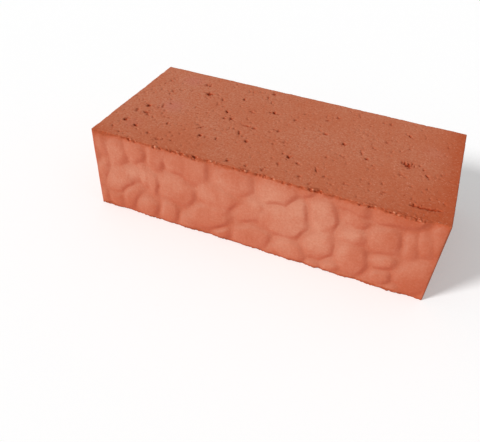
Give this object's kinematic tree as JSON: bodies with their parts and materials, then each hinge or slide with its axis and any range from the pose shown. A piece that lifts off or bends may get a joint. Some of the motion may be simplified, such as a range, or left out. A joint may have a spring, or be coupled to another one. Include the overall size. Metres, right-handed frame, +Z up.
{
  "type": "clay facing brick",
  "caption": "Solid extruded clay brick with cobbles rolled into one long face, a plain back, plain ends and flat wire-cut beds.",
  "frame": {"origin": "middle of the lower bed, where the brick lies on the mortar or on the floor", "axes": "+X along the brick, +Y out of the plain back so that the cobbled face looks along -Y, +Z up out of the upper bed"},
  "size_m": [0.25, 0.12, 0.065],
  "materials": {
    "fired_clay": "matt fired clay: pinkish orange rolled skin on the face, plain die skin on the back and ends, browner dragged and pitted wire-cut beds"
  },
  "bodies": {
    "root": {"brick": "fired_clay"}
  },
  "joints": []
}
